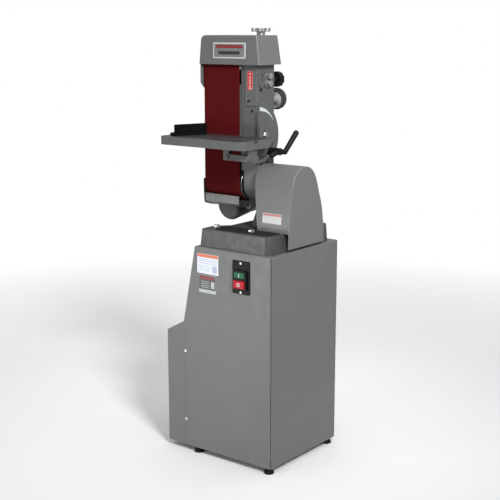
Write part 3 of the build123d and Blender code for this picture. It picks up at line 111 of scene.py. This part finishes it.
class Surface:
    """A Principled material built up from object-space noise, grain and edge layers."""

    def __init__(self, name, color, roughness, metallic=0.0, **sockets):
        self.material = bpy.data.materials.new(name)
        self.material.use_nodes = True
        self.material.diffuse_color = (*color, 1)
        self.tree = self.material.node_tree
        self.shader = self.tree.nodes["Principled BSDF"]
        self.shader.inputs["Base Color"].default_value = (*color, 1)
        self.shader.inputs["Roughness"].default_value = roughness
        self.shader.inputs["Metallic"].default_value = metallic
        for socket, value in sockets.items():
            self.shader.inputs[socket.replace("_", " ")].default_value = value
        self.coordinates = self.node("ShaderNodeTexCoord")
        self.base = color
        self.color = None
        self.normal = None

    def node(self, kind, **values):
        made = self.tree.nodes.new(kind)
        for key, value in values.items():
            setattr(made, key, value)
        return made

    def link(self, output, socket):
        self.tree.links.new(output, socket)

    def noise(self, scale, detail=3.0, stretch=(1, 1, 1), rough=0.55):
        mapping = self.node("ShaderNodeMapping")
        mapping.inputs["Scale"].default_value = stretch
        self.link(self.coordinates.outputs["Object"], mapping.inputs["Vector"])
        noise = self.node("ShaderNodeTexNoise")
        noise.inputs["Scale"].default_value = scale
        noise.inputs["Detail"].default_value = detail
        noise.inputs["Roughness"].default_value = rough
        self.link(mapping.outputs["Vector"], noise.inputs["Vector"])
        return noise.outputs["Fac"]

    def ramp(self, value, low, high, out_low=0.0, out_high=1.0):
        ranged = self.node("ShaderNodeMapRange")
        ranged.inputs["From Min"].default_value = low
        ranged.inputs["From Max"].default_value = high
        ranged.inputs["To Min"].default_value = out_low
        ranged.inputs["To Max"].default_value = out_high
        self.link(value, ranged.inputs["Value"])
        return ranged.outputs["Result"]

    def tint(self, mask, color):
        """Lay a colour over the surface where the mask is 1."""
        mix = self.node("ShaderNodeMix", data_type="RGBA")
        mix.inputs["A"].default_value = (*self.base, 1)
        if self.color is not None:
            self.link(self.color, mix.inputs["A"])
        mix.inputs["B"].default_value = (*color, 1)
        self.link(mask, mix.inputs["Factor"])
        self.color = mix.outputs["Result"]
        self.link(self.color, self.shader.inputs["Base Color"])
        return self

    def mottle(self, scale, color, amount=0.5, stretch=(1, 1, 1)):
        """Clouds of another colour."""
        return self.tint(self.ramp(self.noise(scale, 4, stretch), *MOTTLE_BAND, 0, amount), color)

    def bend(self, output):
        """Take the output as the surface's normal."""
        self.normal = output
        self.link(output, self.shader.inputs["Normal"])
        return self

    def soften(self, radius):
        """Round the sharp edges of the shading."""
        bevel = self.node("ShaderNodeBevel", samples=4)
        bevel.inputs["Radius"].default_value = radius
        return self.bend(bevel.outputs["Normal"])

    def edge_highlight(self, color, amount):
        """A painted highlight: a paler colour where the softened normal leaves the flat one, along
        the edges.
        """
        flat = self.node("ShaderNodeNewGeometry")
        dot = self.node("ShaderNodeVectorMath", operation="DOT_PRODUCT")
        self.link(self.normal, dot.inputs[0])
        self.link(flat.outputs["True Normal"], dot.inputs[1])
        return self.tint(self.ramp(dot.outputs["Value"], *EDGE_HIGHLIGHT_BAND, 0, amount), color)

    def grain(self, scale, depth, stretch=(1, 1, 1), detail=2.0):
        """Fine relief of the given depth in millimetres."""
        bump = self.node("ShaderNodeBump")
        bump.inputs["Strength"].default_value = 1.0
        bump.inputs["Distance"].default_value = depth * MM
        self.link(self.noise(scale, detail, stretch), bump.inputs["Height"])
        if self.normal is not None:
            self.link(self.normal, bump.inputs["Normal"])
        return self.bend(bump.outputs["Normal"])

    def patchy(self, scale, low, high, stretch=(1, 1, 1)):
        """Roughness that drifts between two values."""
        drift = self.ramp(self.noise(scale, 3, stretch), *GLOSS_BAND, low, high)
        self.link(drift, self.shader.inputs["Roughness"])
        return self

    def facing_up(self):
        """1 on faces that look up when the object is at rest."""
        split = self.node("ShaderNodeSeparateXYZ")
        self.link(self.coordinates.outputs["Normal"], split.inputs["Vector"])
        return self.ramp(split.outputs["Z"], *UPWARD_BAND)

    def within(self, centre, radius, along, blur=EDGE_BLUR):
        """1 nearer than the radius to an axis through the centre; along is 0 on that axis."""
        offset = self.node("ShaderNodeVectorMath", operation="SUBTRACT")
        offset.inputs[1].default_value = centre
        self.link(self.coordinates.outputs["Object"], offset.inputs[0])
        across = self.node("ShaderNodeVectorMath", operation="MULTIPLY")
        across.inputs[1].default_value = along
        self.link(offset.outputs["Vector"], across.inputs[0])
        length = self.node("ShaderNodeVectorMath", operation="LENGTH")
        self.link(across.outputs["Vector"], length.inputs[0])
        return self.ramp(length.outputs["Value"], radius + blur, radius - blur)


def paint(name, color, roughness, edge=1.1):
    """Satin machine enamel: slight orange peel, drifting gloss and a painted highlight along the
    edges.
    """
    dark = shade(color, 0.86)
    made = Surface(name, color, roughness, Specular_IOR_Level=ENAMEL_SPECULAR)
    made.soften(edge * MM).mottle(9, dark, 0.55).mottle(160, dark, 0.2)
    # painted highlight: a much paler enamel colour along the edges
    made.edge_highlight(shade(color, 2.2, 0.06), 0.8)
    return made.grain(900, 0.012).patchy(35, roughness - 0.06, roughness + 0.08)


def casting(name, color, roughness):
    """The same enamel over a sand-cast skin."""
    dark = shade(color, 0.84)
    made = Surface(name, color, roughness, Specular_IOR_Level=ENAMEL_SPECULAR)
    made.soften(1.5 * MM).mottle(14, dark, 0.6).mottle(240, dark, 0.25)
    # painted highlight: a paler casting colour along the edges
    made.edge_highlight(shade(color, 1.7, 0.03), 0.5)
    return made.grain(420, 0.05, detail=4).patchy(40, roughness - 0.05, roughness + 0.1)


def metal(name, color, roughness, brush=(1, 1, 1), depth=0.01):
    """Bare or plated metal, brushed where the noise is stretched."""
    made = Surface(name, color, roughness, metallic=1.0)
    made.soften(0.5 * MM).mottle(60, shade(color, 0.7), 0.5, brush)
    return made.grain(700, depth, brush).patchy(90, roughness - 0.07, roughness + 0.1, brush)


def plastic(name, color, roughness, depth=0.03, **sockets):
    """Moulded plastic or rubber with a fine texture."""
    pale = shade(color, 1.4, 0.002)
    made = Surface(name, color, roughness, Specular_IOR_Level=PLASTIC_SPECULAR, **sockets)
    # paler clouds, and the same pale colour as a painted highlight along the edges
    made.soften(0.6 * MM).mottle(45, pale, 0.5).edge_highlight(pale, 0.35)
    return made.grain(1500, depth).patchy(60, roughness - 0.05, roughness + 0.08)


def printed(name, color, roughness=0.38):
    """Printed film: faintly uneven ink under a clear coat."""
    made = Surface(name, color, roughness, Coat_Weight=0.4, Coat_Roughness=0.15)
    return made.mottle(70, shade(color, 0.85), 0.5).grain(1200, 0.006)


GREY = (0.120, 0.124, 0.122)
HEAD_GREY = (0.116, 0.120, 0.118)
GUARD_GREY = (0.126, 0.130, 0.128)
PLATE_GREY = (0.088, 0.092, 0.09)
CAST_GREY = (0.080, 0.084, 0.082)
BASE_GREY = (0.050, 0.053, 0.052)
DARK_IRON = (0.030, 0.032, 0.031)
SCRATCH_GREY = (0.11, 0.11, 0.11)
WHEEL_RIM = (0.03, 0.031, 0.032)
WHEEL_FACE = (0.27, 0.272, 0.272)
WHEEL_FACE_RADIUS = 0.0305


def make_abrasive():
    """Red-brown coated cloth: grit speckle, streaks along its run and a rough matt face."""
    made = Surface("abrasive", (0.068, 0.0035, 0.0045), 0.9, Specular_IOR_Level=0.06)
    made.mottle(900, (0.12, 0.010, 0.010), 0.6)
    made.mottle(30, (0.05, 0.003, 0.0035), 0.4, (3.0, 1, 0.12))
    made.mottle(5, (0.082, 0.005, 0.006), 0.5)
    return made.grain(1400, 0.16, detail=4)


def make_black_casting():
    """Dull black cast iron of the miter gauge."""
    made = Surface("black_casting", (0.0025, 0.0025, 0.003), 0.62, Specular_IOR_Level=0.05)
    return made.soften(1 * MM).mottle(40, (0.005, 0.005, 0.0055), 0.6).grain(420, 0.06, detail=4)


def make_table_paint():
    """Enamelled casting with a ground top face."""
    made = Surface("table_casting", CAST_GREY, 0.42, Specular_IOR_Level=ENAMEL_SPECULAR)
    made.soften(1.6 * MM).mottle(14, shade(CAST_GREY, 0.84), 0.6)
    # painted highlight: a paler enamel colour along the edges
    made.edge_highlight(shade(CAST_GREY, 1.8), 0.55)
    top = made.facing_up()
    made.tint(top, DARK_IRON)
    scratches = made.ramp(made.noise(520, 2, (1, 0.04, 1)), 0.55, 0.75, 0, 0.4)
    both = made.node("ShaderNodeMath", operation="MULTIPLY")
    made.link(top, both.inputs[0])
    made.link(scratches, both.inputs[1])
    made.tint(both.outputs["Value"], SCRATCH_GREY)
    return made.grain(500, 0.03, detail=4)


def make_handwheel():
    """Black rim around a turned metal face."""
    low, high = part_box("tracking_handwheel")
    made = plastic("handwheel", WHEEL_RIM, 0.42)
    face = made.within((low + high) / 2, WHEEL_FACE_RADIUS, (1, 0, 1))
    return made.tint(face, WHEEL_FACE)


SURFACES = {
    "grey_paint": paint("grey_paint", GREY, 0.42),
    "grey_casting": casting("grey_casting", CAST_GREY, 0.46),
    "zinc": metal("zinc", (0.62, 0.62, 0.6), 0.4),
    "black_plastic": plastic("black_plastic", (0.0035, 0.0035, 0.004), 0.5),
    "start_green": plastic("start_green", (0.004, 0.085, 0.03), 0.28, 0.01, Coat_Weight=0.2),
    "stop_red": plastic("stop_red", (0.34, 0.003, 0.012), 0.28, 0.01, Coat_Weight=0.2),
    "label_print": printed("label_print", (0.44, 0.46, 0.48)),
    "black_rubber": plastic("black_rubber", (0.017, 0.017, 0.018), 0.72, 0.06),
    "steel": metal("steel", (0.4, 0.4, 0.4), 0.3, (0.06, 1, 1)),
    "aluminium": metal("aluminium", (0.46, 0.46, 0.46), 0.34),
    "black_steel": metal("black_steel", (0.035, 0.035, 0.037), 0.4),
    "abrasive": make_abrasive(),
    "graphite": plastic("graphite", (0.02, 0.02, 0.021), 0.6, 0.12),
    "scale_plate": printed("scale_plate", (0.56, 0.6, 0.56)),
    "bare_sheet": metal("bare_sheet", (0.16, 0.16, 0.157), 0.48, (1, 1, 0.1)),
    "dark_duct": paint("dark_duct", (0.045, 0.046, 0.046), 0.5),
    "iron": metal("iron", (0.13, 0.13, 0.13), 0.5, depth=0.05),
    "black_casting": make_black_casting(),
    "motor_paint": paint("motor_paint", (0.012, 0.012, 0.014), 0.4),
}
# nodes that look a little different from the rest of their slot
NODE_SURFACES = {
    "table": make_table_paint(),
    "tracking_handwheel": make_handwheel(),
    "top_cover": paint("cover_paint", HEAD_GREY, 0.4, 1.6),
    "belt_guard": paint("guard_paint", GUARD_GREY, 0.38, 1.8),
    "base_casting": casting("base_paint", BASE_GREY, 0.42),
    "front_plate": paint("plate_paint", PLATE_GREY, 0.42),
    "cabinet": paint("cabinet_paint", GREY, 0.42, 1.0),
}
INKS = {
    "white": printed("ink_white", (0.66, 0.69, 0.74)),
    "orange": printed("ink_orange", (0.56, 0.12, 0.05)),
    "blue_grey": printed("ink_blue_grey", (0.34, 0.4, 0.52)),
    "silver": printed("ink_silver", (0.4, 0.41, 0.4)),
    "green_grey": printed("ink_green_grey", (0.028, 0.05, 0.042)),
    "maroon": printed("ink_maroon", (0.2, 0.008, 0.014)),
    "dark": printed("ink_dark", (0.012, 0.013, 0.015)),
    "red": printed("ink_red", (0.5, 0.022, 0.02)),
    "faded_red": printed("ink_faded_red", (0.42, 0.15, 0.145)),
    "pale": printed("ink_pale", (0.5, 0.5, 0.5)),
    "plate": metal("ink_plate", (0.33, 0.34, 0.35), 0.45, (1, 1, 0.08)),
}


def dress_frame():
    """Give every CAD node its own surface or its slot's."""
    for part in frame["record"]["subparts"]:
        name = part.get("node") or part.get("name")
        node = frame["nodes"][name]
        surface = NODE_SURFACES.get(name) or SURFACES[part["material_slot"]]
        node.data.materials.clear()
        node.data.materials.append(surface.material)


# --- detail pieces --------------------------------------------------------------------
FILM_LAYER = 0.00012  # metres that one printed layer stands off the surface
FILM_SINK = 0.00002  # metres that a film's back lies inside the surface
RING_LIFT = 0.00015
TICK_LIFT = 0.00006
TICK_DEPTH = 0.0001
IN_FRONT = -1  # Y in metres from which the faces are looked for
NARROWEST = 2.2  # a film is at least this many corner radii wide and high
RING_TURNS = 32
surface_trees = {}


def front_of(node, x, z):
    """Y of the node's foremost face at (x, z), in metres."""
    if node not in surface_trees:
        mesh = frame["nodes"][node].data
        corners = [v.co for v in mesh.vertices]
        surface_trees[node] = BVHTree.FromPolygons(corners, [p.vertices for p in mesh.polygons])
    hit = surface_trees[node].ray_cast(Vector((x, IN_FRONT, z)), Vector((0, 1, 0)))
    return hit[0].y


def to_mesh(name, shape):
    mesh = bpy.data.meshes.new(name)
    shape.to_mesh(mesh)
    shape.free()
    return mesh


def add_piece(name, shape, ink, body):
    """Turn a closed shape into a piece that rides on the body."""
    bmesh.ops.recalc_face_normals(shape, faces=shape.faces)
    mesh = to_mesh(name, shape)
    piece = bpy.data.objects.new(name, mesh)
    bpy.context.scene.collection.objects.link(piece)
    mesh.materials.append(INKS[ink].material)
    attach(piece, body)


def rim_of(grid):
    """The outer points of a grid, in order."""
    return (grid[0] + [row[-1] for row in grid[1:]] + grid[-1][-2::-1]
            + [row[0] for row in grid[-2:0:-1]])


def film_shape(front_points, back_points):
    """Closed thin skin between a front grid of points and the same grid on the surface."""
    shape = bmesh.new()
    front = [[shape.verts.new(p) for p in row] for row in front_points]
    back = [[shape.verts.new(p) for p in row] for row in back_points]
    for grid, turned in ((front, False), (back, True)):
        for row, after in zip(grid, grid[1:]):
            for j in range(len(row) - 1):
                quad = [row[j], row[j + 1], after[j + 1], after[j]]
                shape.faces.new(quad[::-1] if turned else quad)
    rim_front, rim_back = rim_of(front), rim_of(back)
    for k in range(len(rim_front)):
        n = (k + 1) % len(rim_front)
        shape.faces.new((rim_front[n], rim_front[k], rim_back[k], rim_back[n]))
    return shape


def film(name, node, body, x_range, z_range, ink, level=1, corner=1.0, slot="label_print"):
    """A printed film with rounded corners laid on the front of a node. Sizes in millimetres."""
    (x0, x1), (z0, z1) = x_range, z_range
    corner = min(corner, (x1 - x0) / NARROWEST, (z1 - z0) / NARROWEST)
    arc = [corner * (1 - cos(radians(a))) for a in (0, 30, 60, 90)]
    middle = [z0 + corner + (z1 - z0 - 2 * corner) * k / 4 for k in range(1, 4)]
    heights = [z0 + a for a in arc] + middle + [z1 - a for a in reversed(arc)]
    front, back = [], []
    for z in heights:
        depth = min(z - z0, z1 - z, corner)
        inset = corner - sqrt(max(0, corner ** 2 - (corner - depth) ** 2))
        xs = [x0 + inset + (x1 - x0 - 2 * inset) * k / 6 for k in range(7)]
        ys = [front_of(node, x * MM, z * MM) for x in xs]
        front.append([(x * MM, y - FILM_LAYER * level, z * MM) for x, y in zip(xs, ys)])
        back.append([(x * MM, y + FILM_SINK, z * MM) for x, y in zip(xs, ys)])
    add_piece(name, film_shape(front, back), ink, body)


def bars(name, node, body, x_range, tops, height, ink, level=2):
    """Plain rules across a label, one per height."""
    for number, top in enumerate(tops, 1):
        film(f"{name}_{number}", node, body, x_range, (top - height, top), ink, level, 0.4)


def ring(name, node, body, centre, outer, inner, ink):
    """A flat printed ring on the front of a node."""
    angles = [2 * pi * k / RING_TURNS for k in range(RING_TURNS)]
    front, back = [], []
    for radius in (inner, outer):
        line = [(centre[0] + radius * cos(a), centre[1] + radius * sin(a)) for a in angles]
        ys = [front_of(node, x * MM, z * MM) for x, z in line]
        front.append([(x * MM, y - RING_LIFT, z * MM) for (x, z), y in zip(line, ys)])
        back.append([(x * MM, y + FILM_SINK, z * MM) for (x, z), y in zip(line, ys)])
    shape = bmesh.new()
    rows = (front[0], front[1], back[1], back[0])
    loops = [[shape.verts.new(p) for p in row] for row in rows]
    for a, b in zip(loops, loops[1:] + loops[:1]):
        for k in range(RING_TURNS):
            n = (k + 1) % RING_TURNS
            shape.faces.new((a[k], a[n], b[n], b[k]))
    add_piece(name, shape, ink, body)


def cabinet_labels():
    """Caution plate over a nameplate, with rules in place of words, and the cover's seam."""
    on = ("cabinet_labels", "stand")
    film("caution_ground", *on, (-81.5, 9.5), (650.5, 717.5), "white", 1, 2)
    film("caution_band", *on, (-81, 9), (706, 717), "orange", 2, 1.5)
    bars("caution_rule", *on, (-76, 4), (701, 694, 687), 2.4, "blue_grey")
    bars("caution_line", *on, (-76, -22), (678, 672, 666, 660), 1.6, "blue_grey")
    film("caution_panel", *on, (-16, 4), (656, 680), "blue_grey", 2, 1)
    film("nameplate_ground", *on, (-73.5, -1.5), (596, 645), "green_grey", 1, 1.5)
    film("nameplate_band", *on, (-68, -8), (631, 642), "maroon", 2, 1)
    film("nameplate_foot", *on, (-73.5, -1.5), (584.5, 596), "silver", 2, 1.5)
    film("cover_seam", "cabinet", "stand", (-145.6, -144.7), (24, 464), "dark", 1, 0.3)
    bars("nameplate_rule", *on, (-66, -30), (624, 617, 610, 604), 1.8, "silver")
    film("nameplate_panel", *on, (-22, -7), (602, 625), "silver", 2, 1)


def head_labels():
    """Plain plate on the cover and a red guide label on the front plate."""
    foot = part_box("top_cover")[0].z / MM
    on = ("head_labels", "head")
    film("cover_plate_rim", *on, (-120.4, 16.4), (foot + 20.8, foot + 71.2), "pale", 1, 3)
    film("cover_plate_ground", *on, (-116, 12), (foot + 24.5, foot + 67.5), "plate", 2, 1.5)
    film("cover_plate_bar", *on, (-108, 4), (foot + 54, foot + 64), "maroon", 3, 0.6)
    film("cover_plate_rule", *on, (-98, -6), (foot + 33, foot + 44), "dark", 3, 5)
    film("guide_label", *on, (12.4, 33.6), (1256.4, 1317.6), "red", 1, 4)
    bars("guide_label_mark", *on, (20.5, 25.5), (1311, 1300, 1291, 1282, 1273), 5, "pale")
    film("guide_label_foot", *on, (18.5, 27.5), (1260, 1265), "pale", 2, 1)


def guard_label():
    on = ("belt_guard", "stand")
    film("guard_label_ground", *on, (117, 193), (829, 862), "pale", 1, 1.5)
    film("guard_label_band", *on, (118, 192), (853, 861), "faded_red", 2, 1)
    bars("guard_label_rule", *on, (123, 187), (849, 844, 839, 834), 1.8, "silver")


def switch_marks():
    """On bar and off ring."""
    start, stop = "start_button", "stop_button"
    film("start_mark", start, start, (106.3, 108.7), (662, 674), "white", 1.5, 0.8, "start_green")
    ring("stop_mark", stop, stop, (107.5, 637), 6.2, 4.2, "white")


def scale_ticks():
    """Division marks of the table's tilt scale, a long one at every fifth."""
    pivot_y, pivot_z = -36.3, 1103.0
    outer, long_in, short_in, half = 98.2, 89.5, 93.0, 0.28
    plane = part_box("tilt_scale")[1].x + TICK_LIFT
    shape = bmesh.new()
    for number, degree in enumerate(range(34, 84, 2)):
        along = (cos(radians(degree)), sin(radians(degree)))
        across = (-along[1] * half, along[0] * half)
        inner = short_in if number % 5 else long_in
        corners = [(pivot_y + r * along[0] + s * across[0], pivot_z + r * along[1] + s * across[1])
                   for r, s in ((inner, -1), (outer, -1), (outer, 1), (inner, 1))]
        top = [shape.verts.new((plane, y * MM, z * MM)) for y, z in corners]
        base = [shape.verts.new((plane - TICK_DEPTH, y * MM, z * MM)) for y, z in corners]
        shape.faces.new(top)
        for k in range(4):
            n = (k + 1) % 4
            shape.faces.new((top[n], top[k], base[k], base[n]))
    add_piece("tilt_scale_ticks", shape, "dark", "head")


# --- floor ----------------------------------------------------------------------------
FLOOR_RADIUS = 5
FLOOR_WHITE = (0.93, 0.93, 0.93)
FLOOR_SHADE = (0.9, 0.9, 0.9)
FADE_RADIUS = 2.3
FADE_HALF_WIDTH = 0.9


def make_floor():
    """Round white floor that fades out before the horizon."""
    shape = bmesh.new()
    bmesh.ops.create_circle(shape, cap_ends=True, segments=96, radius=FLOOR_RADIUS)
    mesh = to_mesh("floor", shape)
    floor = bpy.data.objects.new("floor", mesh)
    bpy.context.scene.collection.objects.link(floor)
    surface = Surface("floor", FLOOR_WHITE, 0.8, Specular_IOR_Level=0.1)
    surface.mottle(3, FLOOR_SHADE, 0.4)
    faded = surface.within((0, 0, 0), FADE_RADIUS, (1, 1, 0), FADE_HALF_WIDTH)
    surface.link(faded, surface.shader.inputs["Alpha"])
    mesh.materials.append(surface.material)


make_camera()
make_world()
soft_light("key", (-1.3, -2.8, 0.35), (0, -0.2, 0.35), 0.9, 2.6, 42)
soft_light("side", (2.7, -1.7, 2.9), (0.1, 0, 1.2), 0.9, 20, 60)
soft_light("top", (0.2, 0.4, 3.4), (0, 0, 0.8), 2.0, 20)
bpy.context.scene.view_settings.view_transform = "Standard"
dress_frame()
cabinet_labels()
head_labels()
guard_label()
switch_marks()
scale_ticks()
make_floor()
bpy.context.view_layer.update()
